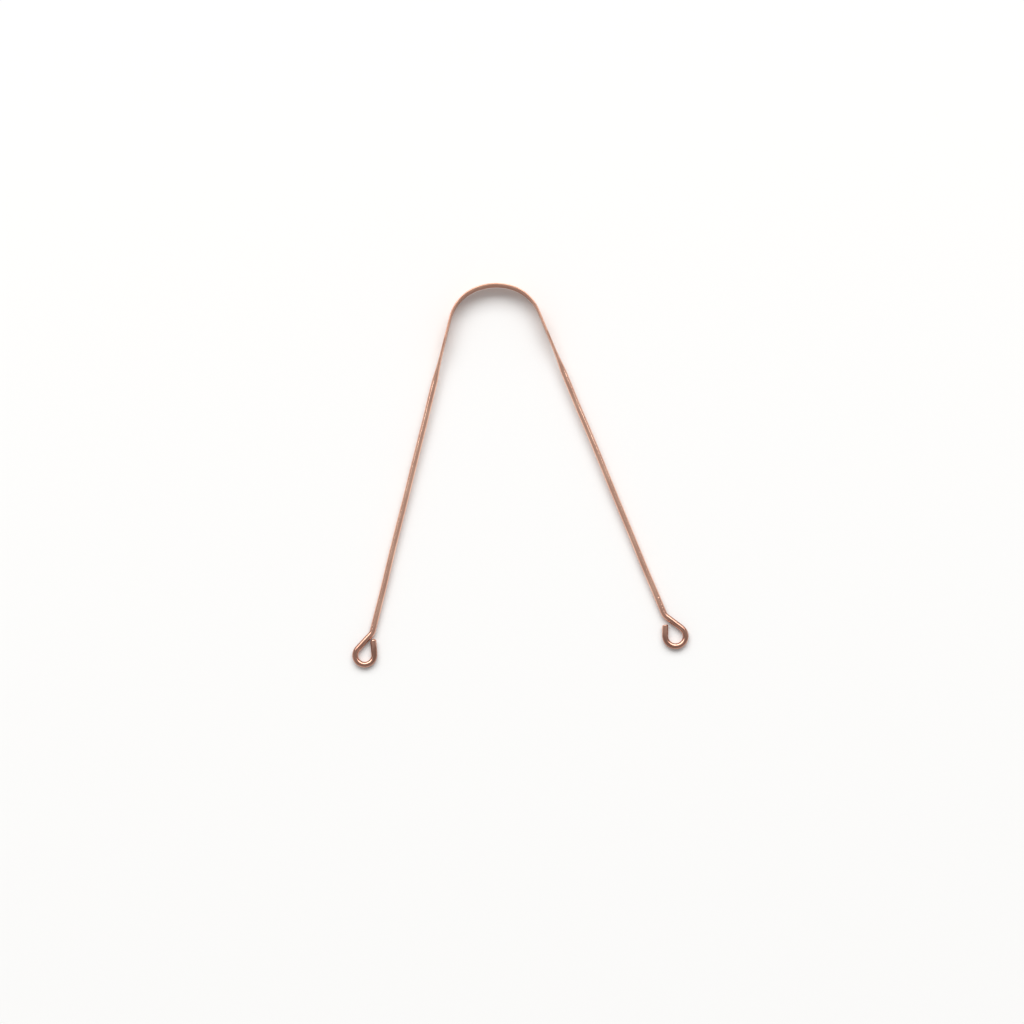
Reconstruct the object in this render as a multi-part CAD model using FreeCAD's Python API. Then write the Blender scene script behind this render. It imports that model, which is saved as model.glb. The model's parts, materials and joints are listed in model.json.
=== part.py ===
import FreeCAD, Part
import math
import os

from FreeCAD import Vector

# A tongue scraper bent from one copper wire. The middle of the wire is rolled flat and stands on
# edge as the scraping band of an open arch. Both arms stay round and end in teardrop finger eyes.
# It lies flat: +Y runs from the eyes to the crown of the arch, +Z is up across the band's width,
# and the origin is under the middle of the whole tool, on the surface that it lies on.

# Driving dimensions in millimetres, angles in degrees

# Round wire
wire_diameter = 2.0

# Flattened band
band_width = 5.3
band_thickness = 0.6
band_edge_round = 0.2

# Arch, measured on the middle of the band's thickness. It leans a little to the right.
crown_radius = 18.0
crown_half_angle = 16.5
shoulder_radius = 14.2
arm_half_angle = 17.8
arch_lean = 1.0
band_leg_length = 7.0

# Arms, of which the right one is bent a little longer
taper_length = 14.5
left_shank_length = 84.65
right_shank_length = 86.05

# Finger eyes, each set a little outside its arm's line. The left one is bent tighter, and its cut
# end is worn to a dome.
left_eye_bore = 4.2
right_eye_bore = 4.6
eye_set = 0.62
neck_length = 7.5
neck_bend_radius = 3.0
left_return_angle = 18.0
right_return_angle = 22.0
left_tip_gap = 0.12
right_tip_gap = 0.8
left_tip_round = 0.7
right_tip_round = 0.3

# Flat-to-round transition: number of steps, the power by which the thickness grows along it, and
# half the angle that each flat leaves on the round
taper_steps = 4
taper_power = 1.5
flat_trace_angle = 12.0

# Values worked out from the driving dimensions
wire_radius = wire_diameter / 2
mid_height = band_width / 2
half_thickness = band_thickness / 2
band_edge_land = band_thickness - 2 * band_edge_round
shoulder_angle = 90 - arm_half_angle - crown_half_angle
up = Vector(0, 0, 1)


class EyeShape:
    """Angles and lengths of one finger eye, worked out from its bore, return leg and cut end."""

    def __init__(self, bore, return_angle, tip_gap, tip_round):
        reach = math.hypot(neck_length, eye_set)
        self.radius = (bore + wire_diameter) / 2
        self.neck_angle = math.degrees(math.asin(self.radius / reach) + math.atan2(eye_set, neck_length))
        self.neck_tangent = neck_bend_radius * math.tan(math.radians(self.neck_angle / 2))
        self.neck_run = math.sqrt(reach ** 2 - self.radius ** 2) - self.neck_tangent
        self.loop_angle = 180 + self.neck_angle + return_angle
        closing = math.radians(self.neck_angle + return_angle)
        rounding = tip_round * (math.cos(closing) + math.sin(closing) - 1)
        self.return_run = (bore / 2 * (1 + math.cos(closing)) + rounding - tip_gap) / math.sin(closing)
        self.tip_round = tip_round


class Centreline:
    """A level line of straight runs and tangent bends. A positive bend turns to the left."""

    def __init__(self, point, heading):
        self.point = point
        self.heading = heading
        self.edges = []

    def direction(self):
        angle = math.radians(self.heading)
        return Vector(math.cos(angle), math.sin(angle), 0)

    def left(self):
        return up.cross(self.direction())

    def run(self, length):
        end = self.point + self.direction() * length
        self.edges.append(Part.LineSegment(self.point, end).toShape())
        self.point = end

    def bend(self, radius, angle):
        centre = self.point + self.left() * math.copysign(radius, angle)
        arm = self.point - centre
        half = FreeCAD.Rotation(up, angle / 2).multVec(arm)
        whole = FreeCAD.Rotation(up, angle).multVec(arm)
        self.edges.append(Part.Arc(self.point, centre + half, centre + whole).toShape())
        self.point = centre + whole
        self.heading += angle


def half_arch(offset, lean):
    """Half of the arch as on the right, moved outwards from the middle of the band by the offset."""
    line = Centreline(Vector(0, 0, 0), -lean)
    line.point = line.left() * offset
    line.bend(crown_radius + offset, -crown_half_angle)
    line.bend(shoulder_radius + offset, lean - shoulder_angle)
    line.run(band_leg_length)
    return line


def mirrored(shape):
    """The same shape on the left arm."""
    return shape.mirror(Vector(0, 0, 0), Vector(1, 0, 0))


def arch_outline(offset):
    """One face of the band from end to end, as two halves that meet at the crown."""
    left = [mirrored(edge) for edge in half_arch(offset, -arch_lean).edges]
    return left + half_arch(offset, arch_lean).edges


def end_cut(lean):
    """The line across the band's thickness at its end, as on the right."""
    outer_end = half_arch(half_thickness, lean).point
    inner_end = half_arch(-half_thickness, lean).point
    return Part.LineSegment(outer_end, inner_end).toShape()


def scraping_band():
    """The flat band on edge, with its four long edges eased."""
    cuts = [end_cut(arch_lean), mirrored(end_cut(-arch_lean))]
    outline = arch_outline(half_thickness) + arch_outline(-half_thickness) + cuts
    profile = Part.Wire(Part.__sortEdges__(outline))
    blank = Part.Face(profile).extrude(up * band_width).removeSplitter()
    long_edges = []
    for edge in blank.Edges:
        level = edge.BoundBox.ZLength < band_edge_round
        seen_from_above = Vector(edge.CenterOfMass.x, edge.CenterOfMass.y, 0)
        at_cut = any((cut.CenterOfMass - seen_from_above).Length < band_edge_round for cut in cuts)
        if level and not at_cut:
            long_edges.append(edge)
    return blank.makeFillet(band_edge_round, long_edges)


def flat_section(thickness, width, corner):
    """A flat with rounded corners, from its +X side round to +Y, in the XY plane."""
    half_flat = width / 2 - corner
    half_land = thickness / 2 - corner
    diagonal = corner * math.sqrt(0.5)
    edges = []
    for quarter in range(4):
        along, across = (half_flat, half_land) if quarter % 2 == 0 else (half_land, half_flat)
        side = across + corner
        start = Vector(side, -along, 0)
        end = Vector(side, along, 0)
        middle = Vector(across + diagonal, along + diagonal, 0)
        corner_end = Vector(across, along + corner, 0)
        pair = [Part.LineSegment(start, end).toShape(), Part.Arc(end, middle, corner_end).toShape()]
        for edge in pair:
            edge.rotate(Vector(0, 0, 0), up, 90 * quarter)
            edges.append(edge)
    return Part.Wire(edges)


def round_section():
    """The round wire's circle, divided to match the flats and corners of a flat section."""
    circle = Part.Circle(Vector(0, 0, 0), up, wire_radius)
    trace = math.radians(flat_trace_angle)
    edges = []
    for quarter in range(4):
        middle = quarter * math.pi / 2
        edges.append(Part.Arc(circle, middle - trace, middle + trace).toShape())
        edges.append(Part.Arc(circle, middle + trace, middle + math.pi / 2 - trace).toShape())
    return Part.Wire(edges)


def flat_area(thickness, width, corner):
    return thickness * width - (4 - math.pi) * corner ** 2


def taper(line):
    """The run-out of the rolled flat. Thickness grows by a power of the length, width by the area."""
    band_area = flat_area(band_thickness, band_width, band_edge_round)
    wire_area = math.pi * wire_radius ** 2
    sections = []
    for step in range(taper_steps + 1):
        share = step / taper_steps
        thickness = band_thickness + (wire_diameter - band_thickness) * share ** taper_power
        corner = (thickness - band_edge_land * (1 - share)) / 2
        area = band_area + (wire_area - band_area) * share
        width = (area + (4 - math.pi) * corner ** 2) / thickness
        section = round_section() if step == taper_steps else flat_section(thickness, width, corner)
        section.translate(up * taper_length * share)
        sections.append(section)
    solid = Part.makeLoft(sections, True, False)
    solid.Placement = arm_placement(line)
    line.run(taper_length)
    return solid


def arm_placement(line):
    """Stands a solid built along Z on the end of the line, with its X across the band's thickness."""
    along = line.direction()
    across = line.left()
    turn = FreeCAD.Rotation(across, up, along, "ZXY")
    return FreeCAD.Placement(line.point + up * mid_height, turn)


def shank(line, length):
    solid = Part.makeCylinder(wire_radius, length, line.point + up * mid_height, line.direction())
    line.run(length)
    return solid


def eye(line, shape):
    """The teardrop eye: neck bend outwards, tangent run, loop, and a return leg cut off by the neck."""
    path = Centreline(line.point, line.heading)
    section = Part.Circle(path.point + up * mid_height, path.direction(), wire_radius).toShape()
    path.bend(neck_bend_radius, shape.neck_angle)
    path.run(shape.neck_run)
    path.bend(shape.radius, -shape.loop_angle)
    path.run(shape.return_run)
    spine = Part.Wire(path.edges)
    spine.translate(up * mid_height)
    tube = spine.makePipeShell([Part.Wire(section)], True, False)
    tip = path.point + up * mid_height
    rims = [edge for edge in tube.Edges if (edge.CenterOfMass - tip).Length < shape.tip_round and edge.Closed]
    return tube.makeFillet(shape.tip_round, rims)


def loop_centre(lean, shank_length, shape):
    """The middle of an eye's loop as on the right arm, measured from the crown."""
    line = half_arch(0, lean)
    line.run(taper_length + shank_length + shape.neck_tangent + neck_length)
    return line.point + line.left() * eye_set


def build():
    """All stretches of the wire, by name, before they are centred on the origin."""
    pieces = {"scraping_band": scraping_band()}
    arms = {
        "left": (-arch_lean, left_shank_length, left_shape),
        "right": (arch_lean, right_shank_length, right_shape),
    }
    for side, (lean, shank_length, shape) in arms.items():
        line = half_arch(0, lean)
        arm = {"taper": taper(line), "shank": shank(line, shank_length), "eye": eye(line, shape)}
        for name, solid in arm.items():
            pieces[side + "_" + name] = mirrored(solid) if side == "left" else solid
    return pieces


left_shape = EyeShape(left_eye_bore, left_return_angle, left_tip_gap, left_tip_round)
right_shape = EyeShape(right_eye_bore, right_return_angle, right_tip_gap, right_tip_round)
left_loop = loop_centre(-arch_lean, left_shank_length, left_shape)
right_loop = loop_centre(arch_lean, right_shank_length, right_shape)
reach_difference = left_loop.x + left_shape.radius - right_loop.x - right_shape.radius
lowest_eye = min(left_loop.y - left_shape.radius, right_loop.y - right_shape.radius) - wire_radius
crown_top = half_thickness + crown_radius * (1 - math.cos(math.radians(arch_lean)))
to_origin = Vector(reach_difference / 2, -(crown_top + lowest_eye) / 2, 0)

os.makedirs("parts", exist_ok=True)
for name, solid in build().items():
    placed = solid.translated(to_origin)
    placed.exportStep("parts/" + name + ".step")
    print(name, "valid", placed.isValid(), "volume", round(placed.Volume, 2), "mm3")
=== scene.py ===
import json
import math

import bmesh
import bpy
from mathutils import Matrix, Vector


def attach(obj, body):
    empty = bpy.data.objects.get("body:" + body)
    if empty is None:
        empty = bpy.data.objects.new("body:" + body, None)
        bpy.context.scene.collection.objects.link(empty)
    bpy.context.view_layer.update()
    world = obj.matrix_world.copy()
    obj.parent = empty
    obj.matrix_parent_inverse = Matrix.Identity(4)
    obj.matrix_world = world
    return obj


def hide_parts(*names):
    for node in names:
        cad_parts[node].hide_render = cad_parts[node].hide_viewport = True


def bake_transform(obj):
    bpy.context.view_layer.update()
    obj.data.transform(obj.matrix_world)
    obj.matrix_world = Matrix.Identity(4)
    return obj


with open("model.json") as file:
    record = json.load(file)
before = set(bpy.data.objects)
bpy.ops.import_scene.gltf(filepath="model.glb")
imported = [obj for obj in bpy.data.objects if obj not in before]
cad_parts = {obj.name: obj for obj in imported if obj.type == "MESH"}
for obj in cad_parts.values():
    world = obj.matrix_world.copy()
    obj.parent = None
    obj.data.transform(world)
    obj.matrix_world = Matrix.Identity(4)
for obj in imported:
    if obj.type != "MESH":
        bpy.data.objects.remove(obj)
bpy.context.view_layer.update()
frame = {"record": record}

# A tongue scraper bent from one copper wire, lying on a pale floor. Lengths are in millimetres and
# angles in degrees, until a mesh is made in metres.
MM = 0.001

# Wire and band, as in the solid model
WIRE = 2.0
BAND_WIDTH = 5.3
BAND_THICKNESS = 0.6
CROWN_RADIUS = 18.0
CROWN_HALF_ANGLE = 16.5
SHOULDER_RADIUS = 14.2
ARM_HALF_ANGLE = 17.8
ARCH_LEAN = 1.0
BAND_LEG = 7.0
TAPER = 14.5
TAPER_POWER = 1.5
SHANK = {"left": 84.65, "right": 86.05}
EYE_BORE = {"left": 4.2, "right": 4.6}
EYE_SET = 0.62
NECK = 7.5
NECK_BEND_RADIUS = 3.0
RETURN_ANGLE = {"left": 18.0, "right": 22.0}
TIP_GAP = {"left": 0.12, "right": 0.8}
TIP_ROUND = {"left": 0.7, "right": 0.3}

# What handwork leaves: nearly round band edges with a slight ripple, sloping cut ends, flattened bends,
# arms that stray from their line, and darker metal towards the eyes, partly tarnish from handling and
# partly painted shade
BAND_ROUND = 0.29
EDGE_RIPPLE = 0.05
FACE_RIPPLE = 0.025
RIPPLE_MEAN = 0.7
RIPPLE_SWING = 0.3
RIPPLE_RATE = {"left": 1.1, "right": 1.4}
RIPPLE_FADE = 4.0
TIP_SLOPE = {"left": 0.10, "right": -0.16}
TIP_SLOPE_LENGTH = 1.5
BEND_FLATTENING = 0.035
BEND_SWELLING = 0.02
WANDER = 0.05
WANDER_LENGTH = 10.5
SHORT_WANDER = 0.5
SHORT_WANDER_LENGTH = 4.7
RISE = 0.05
RISE_LENGTH = 8.3
STRAY_FADE = 15.0
# Painted shade with handling tarnish: the length over which the metal darkens before the eye
TARNISH_AND_SHADE_LENGTH = 9.0

# Pliers' marks above the necks. The steps are in radians from one mark to the next, so that the marks
# differ in shift, slant and force.
NICK_COUNT = {"left": 3, "right": 8}
NICK_DEPTH = {"left": 0.015, "right": 0.03}
NICK_SPACING = 0.75
NICK_LENGTH = 0.2
NICK_ANGLE = {"left": 70, "right": 100}
NICK_FOCUS = 3
NICK_SHIFT = 0.3
NICK_SHIFT_STEP = 1.7
NICK_SLANT = 0.35
NICK_SLANT_STEP = 2.4
NICK_FORCE_MEAN = 0.7
NICK_FORCE_SWING = 0.3
NICK_FORCE_STEP = 2.1

# A length back from the band's end, at which a point on the band is worked out and not used
BLEND_SHORTFALL = 1.5

# Mesh fineness: points round a quarter of the section, and ring spacing
CORNER_STEPS = 9
HALF_FACE_STEPS = 3
BAND_STEP = 0.3
TAPER_STEP = 0.3
SHANK_STEP = 0.8
MARKED_STEP = 0.1
EYE_STEP = 0.18
TIP_STEPS = 10

# Copper, in linear colour: darkest, dull and fresh, with the shade at which each shows, and the roughness
# that its haze spans. The darkest tone shows mostly at the eyes, partly as tarnish and partly as painted
# shade.
TONE_STOPS = (0.2, 0.45, 0.8)
# The first drawn tone is the darkest: tarnish and painted shade at the eyes
DRAWN_TONES = ((0.42, 0.215, 0.16), (0.79, 0.445, 0.335), (0.97, 0.60, 0.455))
DRAWN_POLISH = (0.09, 0.19)
ROLLED_TONES = ((0.46, 0.23, 0.159), (0.61, 0.323, 0.228), (0.815, 0.47, 0.34))
ROLLED_POLISH = (0.28, 0.40)

# Noise on the copper: scale per millimetre across, up and along the wire, then detail and roughness,
# and what noise mostly spans
LINES = ((3.6, 3.6, 0.07), 4.0, 0.6)
FILM = ((0.35, 0.35, 0.11), 3.0, 0.55)
MARKS = ((5.0, 5.0, 3.2), 2.0, 0.5)
NOISE_RANGE = (0.3, 0.7)

# How much lines and the darkening towards the eyes weigh in the tone, and marks in the haze and in the
# relief. That darkening is partly tarnish from handling and partly painted shade.
LINE_TONE = 0.35
# Painted shade with handling tarnish: how far the tone drops towards the eyes
TARNISH_AND_SHADE_TONE = -0.35
MARK_HAZE = 0.3
MARK_RELIEF = 0.6
RELIEF_STRENGTH = 0.25
RELIEF_DEPTH = 0.02

# Studio: a panel beyond the crown, and a camera on the eyes' side, turned as the photograph is
WORLD_STRENGTH = 0.44
KEY_ELEVATION = 48.0
KEY_DISTANCE = 6000.0
KEY_SIZE = (9000.0, 3750.0)
KEY_RADIANCE = 4.0
FLOOR_REACH = 3000.0
FLOOR_GAP = 0.03
FLOOR_COLOUR = (0.92, 0.915, 0.905, 1.0)
FLOOR_ROUGHNESS = 0.9
FLOOR_GLOSS = 0.1
CAMERA_ELEVATION = 82.0
CAMERA_ROLL = -4.312
CAMERA_DISTANCE = 927.11
CAMERA_TARGET = (0.547, -13.621)
CAMERA_LENS = 100.0
CAMERA_SENSOR = 36.0

# Values worked out from the sizes
WIRE_RADIUS = WIRE / 2
BAND_LAND = BAND_THICKNESS - 2 * BAND_ROUND
SHOULDER_ANGLE = 90 - ARM_HALF_ANGLE - CROWN_HALF_ANGLE
MID_HEIGHT = BAND_WIDTH / 2
MARKED_LENGTH = (max(NICK_COUNT.values()) + 2) * NICK_SPACING

# Where the frame has the crown, on the middle of the band's thickness
mounts = {mount["name"]: mount for mount in frame["record"]["mounts"]}
CROWN_X = mounts["rest_edge"]["pos_m"][0] / MM
CROWN_Y = mounts["rest_edge"]["pos_m"][1] / MM


def ease(value):
    """0 below 0, 1 above 1 and a smooth step between."""
    value = min(1.0, max(0.0, value))
    return value * value * (3 - 2 * value)


class Route:
    """The wire's middle line from the crown to one cut end, as level runs and bends."""

    def __init__(self, side):
        self.side = side
        self.hand = -1 if side == "left" else 1
        self.moves = []
        self.length = 0.0
        self.point = (0.0, 0.0)
        self.heading = -self.hand * math.radians(ARCH_LEAN)
        self.bend(CROWN_RADIUS, -CROWN_HALF_ANGLE)
        self.bend(SHOULDER_RADIUS, self.hand * ARCH_LEAN - SHOULDER_ANGLE)
        self.band_end = self.run(BAND_LEG)
        self.taper_end = self.run(TAPER)
        self.shank_end = self.run(SHANK[side])
        self.add_eye()

    def add_eye(self):
        """Neck bend outwards, tangent run, loop, and a return leg that ends beside the neck."""
        self.eye_radius = (EYE_BORE[self.side] + WIRE) / 2
        reach = math.hypot(NECK, EYE_SET)
        neck_angle = math.asin(self.eye_radius / reach) + math.atan2(EYE_SET, NECK)
        neck_run = math.sqrt(reach ** 2 - self.eye_radius ** 2)
        neck_run -= NECK_BEND_RADIUS * math.tan(neck_angle / 2)
        closing = neck_angle + math.radians(RETURN_ANGLE[self.side])
        rounding = TIP_ROUND[self.side] * (math.cos(closing) + math.sin(closing) - 1)
        room = EYE_BORE[self.side] / 2 * (1 + math.cos(closing)) - TIP_GAP[self.side]
        self.bend(NECK_BEND_RADIUS, math.degrees(neck_angle))
        self.run(neck_run)
        self.bend(self.eye_radius, -180 - math.degrees(closing))
        self.tip = self.run((room + rounding) / math.sin(closing))

    def run(self, length):
        return self.add(length, 0.0)

    def bend(self, radius, angle):
        return self.add(radius * math.radians(abs(angle)), math.copysign(1 / radius, angle))

    def add(self, length, curvature):
        self.moves.append((self.length, self.point, self.heading, curvature))
        self.length += length
        x, y, heading, _ = self.at(self.length)
        self.point = (x, y)
        self.heading = heading
        return self.length

    def at(self, along):
        """Place, heading in radians and curvature at a length from the crown."""
        passed = [move for move in self.moves if move[0] <= along or move[0] == 0]
        begin, (x, y), heading, curvature = passed[-1]
        gone = along - begin
        if curvature == 0:
            return x + gone * math.cos(heading), y + gone * math.sin(heading), heading, curvature
        turned = heading + curvature * gone
        x += (math.sin(turned) - math.sin(heading)) / curvature
        y -= (math.cos(turned) - math.cos(heading)) / curvature
        return x, y, turned, curvature

    def tightness(self, along):
        """How bent the wire is here, 1 in the eye's loop, averaged over the wire's thickness."""
        samples = [self.at(max(0, along + share * WIRE_RADIUS))[3] for share in (-1, -0.5, 0, 0.5, 1)]
        return self.eye_radius * sum(abs(sample) for sample in samples) / len(samples)

    def place(self, along, across, height, forward=0.0):
        """A point in the frame, in metres: across the wire, away from the arch, and up from its middle."""
        x, y, heading, _ = self.at(along)
        x += forward * math.cos(heading) - across * math.sin(heading)
        y += forward * math.sin(heading) + across * math.cos(heading)
        return Vector((CROWN_X + self.hand * x, CROWN_Y + y, MID_HEIGHT + height)) * MM


def flat_ring(thickness, width, corner):
    """A flat section with round corners, from the middle of its outer face round over the top."""
    quarter = []
    half_land, half_flat = thickness / 2 - corner, width / 2 - corner
    for step in range(HALF_FACE_STEPS):
        quarter.append((thickness / 2, half_flat * step / HALF_FACE_STEPS))
    for step in range(CORNER_STEPS + 1):
        angle = math.pi / 2 * step / CORNER_STEPS
        quarter.append((half_land + corner * math.cos(angle), half_flat + corner * math.sin(angle)))
    half = quarter + [(0.0, width / 2)] + [(-x, y) for x, y in reversed(quarter[1:])]
    return half + [(-x, -y) for x, y in half]


def round_ring(thickness, width, count):
    """An even ellipse with the same number of points."""
    angles = [2 * math.pi * step / count for step in range(count)]
    return [(thickness / 2 * math.cos(angle), width / 2 * math.sin(angle)) for angle in angles]


def flat_area(thickness, width, corner):
    return thickness * width - (4 - math.pi) * corner ** 2


def section(share):
    """The wire's section, from the rolled band at 0 to the round wire at 1, with the metal's area kept."""
    band_area = flat_area(BAND_THICKNESS, BAND_WIDTH, BAND_ROUND)
    area = band_area + (math.pi * WIRE_RADIUS ** 2 - band_area) * share
    thickness = BAND_THICKNESS + (WIRE - BAND_THICKNESS) * share ** TAPER_POWER
    corner = (thickness - BAND_LAND * (1 - share)) / 2
    width = (area + (4 - math.pi) * corner ** 2) / thickness
    flat = flat_ring(thickness, width, corner)
    even = round_ring(thickness, width, len(flat))
    roundness = ease(share)
    return [(a + (c - a) * roundness, b + (d - b) * roundness) for (a, b), (c, d) in zip(flat, even)]


def nicks(route, along, angle):
    """Depth of the pliers' marks just above the neck, which lie across the wire's top."""
    depth = 0.0
    facing = max(0.0, math.cos(angle - math.radians(NICK_ANGLE[route.side])))
    for index in range(NICK_COUNT[route.side]):
        shift = NICK_SHIFT * math.sin(NICK_SHIFT_STEP * index)
        middle = route.shank_end - (index + 1 + shift) * NICK_SPACING
        slant = NICK_SLANT * math.sin(NICK_SLANT_STEP * index)
        force = NICK_FORCE_MEAN + NICK_FORCE_SWING * math.cos(NICK_FORCE_STEP * index)
        reach = (along - middle + slant * math.sin(angle)) / NICK_LENGTH
        depth += NICK_DEPTH[route.side] * force * facing ** NICK_FOCUS * math.exp(-reach * reach)
    return depth


def ring(route, along):
    """The section at a length from the crown, as pairs across and up, with the marks of handwork."""
    share = (along - route.band_end) / TAPER
    points = section(min(1.0, max(0.0, share)))
    if share <= 0:
        ripple = RIPPLE_MEAN + RIPPLE_SWING * math.cos(along * RIPPLE_RATE[route.side])
        fade_in, fade_out = ease(along / RIPPLE_FADE), ease((route.band_end - along) / RIPPLE_FADE)
        wide = 1 - EDGE_RIPPLE / BAND_WIDTH * ripple * fade_in * fade_out
        thick = 1 - FACE_RIPPLE / BAND_THICKNESS * ripple
        return [(x * thick, y * wide) for x, y in points]
    if along > route.shank_end - MARKED_LENGTH:
        bent = route.tightness(along)
        shaped = []
        for x, y in points:
            angle = math.atan2(y, x)
            scale = 1 - nicks(route, along, angle) / WIRE_RADIUS
            across = x * scale * (1 - BEND_FLATTENING * bent)
            shaped.append((across, y * scale * (1 + BEND_SWELLING * bent)))
        return shaped
    return points


def drift(route, along):
    """How far the straight arm strays from its line, across and up."""
    begin, end = route.taper_end, route.shank_end
    hold = ease((along - begin) / STRAY_FADE) * ease((end - along) / STRAY_FADE)
    across = math.sin(along / WANDER_LENGTH + route.hand)
    across += SHORT_WANDER * math.sin(along / SHORT_WANDER_LENGTH)
    return WANDER * hold * across, RISE * hold * math.sin(along / RISE_LENGTH - route.hand)


def stations(begin, end, step):
    count = max(1, round((end - begin) / step))
    return [begin + (end - begin) * index / count for index in range(count + 1)]


def cut_off(route, points, remaining):
    """The section drawn in over the rounded cut end, and how far its slope moves each point back."""
    radius = TIP_ROUND[route.side]
    inset = radius - math.sqrt(max(0.0, radius ** 2 - max(0.0, radius - remaining) ** 2))
    slope = TIP_SLOPE[route.side] * ease(1 - remaining / TIP_SLOPE_LENGTH)
    points = [(x * (1 - inset / WIRE_RADIUS), y * (1 - inset / WIRE_RADIUS)) for x, y in points]
    return points, [slope * (x - WIRE_RADIUS * math.copysign(1, slope)) for x, _ in points]


def close_tube(bm, rings):
    """Smooth faces from ring to ring, and a cap with a sharp rim at each end."""
    for first, second in zip(rings, rings[1:]):
        for index in range(len(first)):
            following = (index + 1) % len(first)
            bm.faces.new((first[index], first[following], second[following], second[index])).smooth = True
    caps = [bm.faces.new(rings[0]), bm.faces.new(rings[-1])]
    for cap in caps:
        for edge in cap.edges:
            edge.smooth = False
    bmesh.ops.recalc_face_normals(bm, faces=bm.faces)


def swept(name, route, places, cut_end=False):
    """A closed mesh along the route. Each point keeps its place on the wire, how far the metal is rolled
    there, and how far it is darkened towards the eye, partly tarnish from handling and partly painted
    shade, for the finish."""
    mesh = bpy.data.meshes.new(name)
    bm = bmesh.new()
    on_wire = bm.verts.layers.float_vector.new("wire_place")
    tarnish_and_shade = bm.verts.layers.float.new("tarnish_and_shade")
    rolled = bm.verts.layers.float.new("rolled")

    def add_ring(along, points, forward):
        stray_across, stray_up = drift(route, along)
        made = []
        for (x, y), ahead in zip(points, forward):
            vert = bm.verts.new(route.place(along, x + stray_across, y + stray_up, ahead))
            vert[on_wire] = (x, y, along)
            # Painted shade with handling tarnish: weight that rises over the arm's last stretch and is
            # full on the eye
            vert[tarnish_and_shade] = ease(1 + (along - route.shank_end) / TARNISH_AND_SHADE_LENGTH)
            vert[rolled] = ease((route.taper_end - along) / TAPER)
            made.append(vert)
        return made

    rings = []
    for along in places:
        points = ring(route, along)
        forward = [0.0] * len(points)
        if cut_end:
            points, forward = cut_off(route, points, places[-1] - along)
        rings.append(add_ring(along, points, forward))
    close_tube(bm, rings)
    bm.to_mesh(mesh)
    bm.free()
    piece = bpy.data.objects.new(name, mesh)
    bpy.context.collection.objects.link(piece)
    return piece


def add_node(tree, kind, settings=None, **inputs):
    """A shader node with its properties and constant inputs set."""
    made = tree.nodes.new(kind)
    for key, value in (settings or {}).items():
        setattr(made, key, value)
    for key, value in inputs.items():
        made.inputs[key.replace("_", " ")].default_value = value
    return made


def stretched_noise(tree, place, scale, detail, rough):
    """Noise in wire coordinates, stretched by its scale across, up and along."""
    mapping = add_node(tree, "ShaderNodeMapping", Scale=scale)
    made = add_node(tree, "ShaderNodeTexNoise", Scale=1.0, Detail=detail, Roughness=rough)
    tree.links.new(place.outputs["Vector"], mapping.inputs["Vector"])
    tree.links.new(mapping.outputs["Vector"], made.inputs["Vector"])
    return made.outputs["Fac"]


def ramp(tree, factor, stops):
    """A colour by factor, from pairs of position and colour."""
    made = tree.nodes.new("ShaderNodeValToRGB")
    for index, (position, colour) in enumerate(stops):
        stop = made.color_ramp.elements[index] if index < 2 else made.color_ramp.elements.new(position)
        stop.position = position
        stop.color = (*colour, 1.0)
    tree.links.new(factor, made.inputs["Fac"])
    return made.outputs["Color"]


def spread(tree, noise, low, high):
    """Noise spread between two values."""
    begin, end = NOISE_RANGE
    made = add_node(tree, "ShaderNodeMapRange", From_Min=begin, From_Max=end, To_Min=low, To_Max=high)
    tree.links.new(noise, made.inputs["Value"])
    return made.outputs["Result"]


def weighted_sum(tree, first, second, weight):
    """The first value plus the weighted second."""
    made = add_node(tree, "ShaderNodeMath", {"operation": "MULTIPLY_ADD"})
    made.inputs[1].default_value = weight
    tree.links.new(second, made.inputs[0])
    tree.links.new(first, made.inputs[2])
    return made.outputs["Value"]


def mix(tree, kind, factor, first, second):
    """The first value where the factor is 0 and the second where it is 1."""
    made = add_node(tree, "ShaderNodeMix", {"data_type": kind})
    tree.links.new(factor, made.inputs["Factor"])
    for source, key in ((first, "A"), (second, "B")):
        sockets = [socket for socket in made.inputs if socket.name == key and socket.enabled]
        tree.links.new(source, sockets[0])
    return [socket for socket in made.outputs if socket.enabled][0]


def bare_metal(name):
    """Metal with fine relief, and with it the tone and the haze: lines run along the wire, a film of
    tarnish lies over it in blotches, and handling leaves fine marks."""
    material = bpy.data.materials.new(name)
    material.use_nodes = True
    tree = material.node_tree
    shader = tree.nodes["Principled BSDF"]
    shader.inputs["Metallic"].default_value = 1.0
    place = add_node(tree, "ShaderNodeAttribute", {"attribute_name": "wire_place"})
    # Weight of the darkening towards the eyes: partly handling tarnish, partly painted shade
    tarnish_and_shade = add_node(tree, "ShaderNodeAttribute", {"attribute_name": "tarnish_and_shade"})

    lines = stretched_noise(tree, place, *LINES)
    film = stretched_noise(tree, place, *FILM)
    marks = stretched_noise(tree, place, *MARKS)
    lined_film = weighted_sum(tree, film, lines, LINE_TONE)
    # The tone drops towards the eyes: painted shade along with handling tarnish
    tone = weighted_sum(tree, lined_film, tarnish_and_shade.outputs["Fac"], TARNISH_AND_SHADE_TONE)
    haze = weighted_sum(tree, lines, marks, MARK_HAZE)

    bump = add_node(tree, "ShaderNodeBump", Strength=RELIEF_STRENGTH, Distance=RELIEF_DEPTH * MM)
    tree.links.new(weighted_sum(tree, lines, marks, MARK_RELIEF), bump.inputs["Height"])
    tree.links.new(bump.outputs["Normal"], shader.inputs["Normal"])
    return material, tone, haze


def finish(tree, tone, haze, tones, polish):
    """Colour and roughness of one way of working the metal."""
    colour = ramp(tree, tone, zip(TONE_STOPS, tones))
    return colour, spread(tree, haze, *polish)


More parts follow.
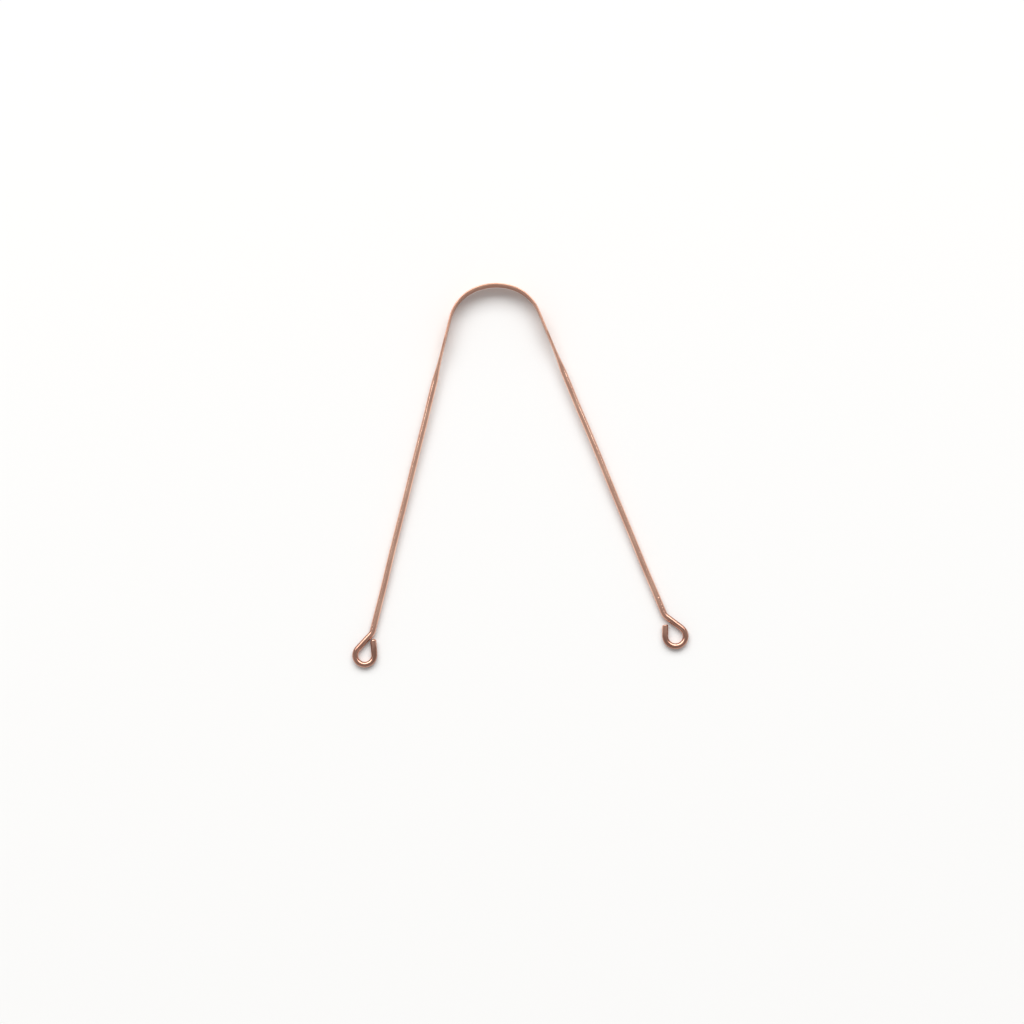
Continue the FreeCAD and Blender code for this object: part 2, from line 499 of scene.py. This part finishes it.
def put_on(material, colour, roughness):
    """Gives the metal its colour and roughness."""
    shader = material.node_tree.nodes["Principled BSDF"]
    material.node_tree.links.new(colour, shader.inputs["Base Color"])
    material.node_tree.links.new(roughness, shader.inputs["Roughness"])
    return material


def drawn_copper():
    """The round wire, bright from the drawing die and darker towards the eyes, partly tarnish from
    handling and partly painted shade.
    """
    material, tone, haze = bare_metal("drawn_copper")
    return put_on(material, *finish(material.node_tree, tone, haze, DRAWN_TONES, DRAWN_POLISH))


def rolled_copper():
    """The flat, duller than the drawn wire, whose finish it takes on along the taper."""
    material, tone, haze = bare_metal("rolled_copper")
    tree = material.node_tree
    rolled = add_node(tree, "ShaderNodeAttribute", {"attribute_name": "rolled"}).outputs["Fac"]
    drawn_colour, drawn_roughness = finish(tree, tone, haze, DRAWN_TONES, DRAWN_POLISH)
    rolled_colour, rolled_roughness = finish(tree, tone, haze, ROLLED_TONES, ROLLED_POLISH)
    colour = mix(tree, "RGBA", rolled, drawn_colour, rolled_colour)
    return put_on(material, colour, mix(tree, "FLOAT", rolled, drawn_roughness, rolled_roughness))


def floor_material():
    material = bpy.data.materials.new("pale_floor")
    material.use_nodes = True
    shader = material.node_tree.nodes["Principled BSDF"]
    shader.inputs["Base Color"].default_value = FLOOR_COLOUR
    shader.inputs["Roughness"].default_value = FLOOR_ROUGHNESS
    shader.inputs["Specular IOR Level"].default_value = FLOOR_GLOSS
    return material


def make_floor():
    """A level sheet that the flat legs and both eyes lie on, so it slopes a little in this frame."""
    right = Route("right")
    touch_y = right.place(right.band_end, 0, 0).y
    eye_y = mounts["right_eye_hang"]["pos_m"][1]
    slope = (MID_HEIGHT - WIRE_RADIUS) * MM / (touch_y - eye_y)
    reach = FLOOR_REACH * MM
    corners = [(-reach, -reach), (reach, -reach), (reach, reach), (-reach, reach)]
    points = [(x, y, slope * (touch_y - y) - FLOOR_GAP * MM) for x, y in corners]
    mesh = bpy.data.meshes.new("floor")
    mesh.from_pydata(points, [], [(0, 1, 2, 3)])
    floor = bpy.data.objects.new("floor", mesh)
    bpy.context.collection.objects.link(floor)
    mesh.materials.append(floor_material())


def make_world():
    world = bpy.data.worlds.new("studio")
    world.use_nodes = True
    background = world.node_tree.nodes["Background"]
    background.inputs["Color"].default_value = (1.0, 1.0, 1.0, 1.0)
    background.inputs["Strength"].default_value = WORLD_STRENGTH
    bpy.context.scene.world = world


def make_key():
    """An area lamp that faces the object. Its brightness is given as seen from the object."""
    lamp = bpy.data.lights.new("key", "AREA")
    lamp.shape = "RECTANGLE"
    lamp.size, lamp.size_y = [side * MM for side in KEY_SIZE]
    lamp.energy = KEY_RADIANCE * math.pi * lamp.size * lamp.size_y
    elevation = math.radians(KEY_ELEVATION)
    toward = Vector((0, math.cos(elevation), math.sin(elevation)))
    key = bpy.data.objects.new("key", lamp)
    key.location = toward * KEY_DISTANCE * MM
    key.rotation_euler = toward.to_track_quat("Z", "Y").to_euler()
    bpy.context.collection.objects.link(key)


def make_camera():
    """Looks down on the tool from the eyes' side, turned as the photograph is."""
    elevation, roll = math.radians(CAMERA_ELEVATION), math.radians(CAMERA_ROLL)
    target = Vector((*CAMERA_TARGET, MID_HEIGHT)) * MM
    back = Vector((0, -math.cos(elevation), math.sin(elevation)))
    level_right = Vector((1, 0, 0))
    level_up = back.cross(level_right)
    right = level_right * math.cos(roll) + level_up * math.sin(roll)
    up = level_up * math.cos(roll) - level_right * math.sin(roll)
    data = bpy.data.cameras.new("camera")
    data.lens = CAMERA_LENS
    data.sensor_width = CAMERA_SENSOR
    camera = bpy.data.objects.new("camera", data)
    rotation = Matrix((right, up, back)).transposed().to_4x4()
    camera.matrix_world = Matrix.Translation(target + back * CAMERA_DISTANCE * MM) @ rotation
    bpy.context.collection.objects.link(camera)
    bpy.context.scene.camera = camera


def make_band_half(route, rolled):
    """Half of the band, which bends between the crown and the arm."""
    band = swept("band_half_" + route.side, route, stations(0, route.band_end, BAND_STEP))
    band.data.materials.append(rolled)
    arm_end = route.place(route.band_end - BLEND_SHORTFALL, 0, 0)
    route.place(0, 0, 0)
    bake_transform(band)
    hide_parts("scraping_band")


def carry(piece, route, node, material):
    """Lets a piece ride on its arm in place of a solid."""
    piece.data.materials.append(material)
    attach(piece, route.side + "_arm")
    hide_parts(route.side + "_" + node)


def make_taper(route, rolled):
    """Where the flat runs out into round wire."""
    places = stations(route.band_end, route.taper_end, TAPER_STEP)
    carry(swept("taper_" + route.side, route, places), route, "taper", rolled)


def make_shank(route, drawn):
    """The straight arm, with finer rings where the pliers' marks are."""
    marked = route.shank_end - MARKED_LENGTH
    places = stations(route.taper_end, marked, SHANK_STEP)
    places += stations(marked, route.shank_end, MARKED_STEP)[1:]
    carry(swept("shank_" + route.side, route, places), route, "shank", drawn)


def make_eye(route, drawn):
    """The finger eye, with finer rings over its rounded cut end."""
    dome = route.tip - TIP_ROUND[route.side]
    places = stations(route.shank_end, dome, EYE_STEP)
    places += stations(dome, route.tip, TIP_ROUND[route.side] / TIP_STEPS)[1:]
    carry(swept("eye_" + route.side, route, places, cut_end=True), route, "eye", drawn)


bpy.context.scene.view_settings.view_transform = "Standard"
make_camera()
make_world()
make_floor()
make_key()
rolled_metal = rolled_copper()
drawn_metal = drawn_copper()
for half in (Route("left"), Route("right")):
    make_band_half(half, rolled_metal)
    make_taper(half, rolled_metal)
    make_shank(half, drawn_metal)
    make_eye(half, drawn_metal)
